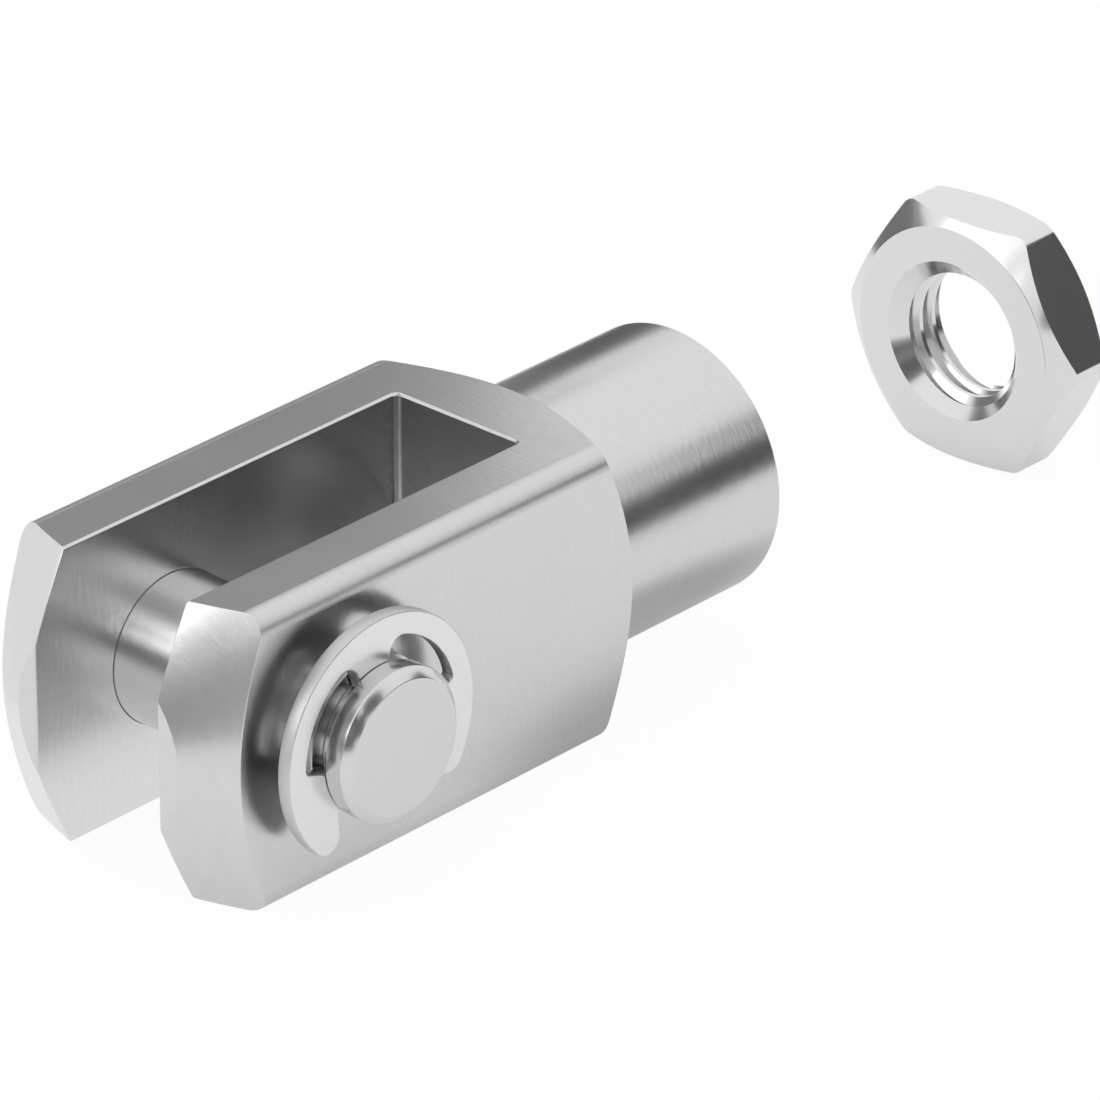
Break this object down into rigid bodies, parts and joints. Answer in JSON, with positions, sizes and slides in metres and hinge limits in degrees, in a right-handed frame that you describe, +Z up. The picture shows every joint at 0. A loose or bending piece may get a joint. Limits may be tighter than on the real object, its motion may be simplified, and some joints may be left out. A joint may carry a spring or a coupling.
{
  "type": "rod clevis",
  "caption": "Fork head for a threaded rod, milled from square bar with a turned shank, a cross pin held by spring clips, and a loose thin lock nut standing behind it.",
  "frame": {"origin": "the middle of the fork's slot, where the pin's axis crosses the axis of the rod thread", "axes": "+X along the rod thread, out of its mouth at the shank's end; +Y along the pin, away from the ear that the picture shows; +Z up, square to the fork's upper flat"},
  "size_m": [0.0838, 0.0275, 0.02],
  "materials": {
    "fork_steel": "bright milled and turned steel",
    "pin_steel": "ground and polished steel",
    "clip_steel": "bright stamped spring steel",
    "nut_steel": "bright polished steel"
  },
  "bodies": {
    "fork": {"clevis_body": "fork_steel"},
    "pin": {"clevis_pin": "pin_steel", "retaining_clip_near": "clip_steel", "retaining_clip_far": "clip_steel"},
    "nut": {"lock_nut": "nut_steel"}
  },
  "joints": [
    {"name": "pin_turn", "type": "hinge", "parent": "fork", "child": "pin", "pos_m": [0, 0, 0], "axis": [0, 1, 0], "continuous": true},
    {"name": "nut_seat", "type": "slide", "parent": "fork", "child": "nut", "axis": [-0.9985, 0, 0.055], "range_m": [0, 0.0273]}
  ]
}
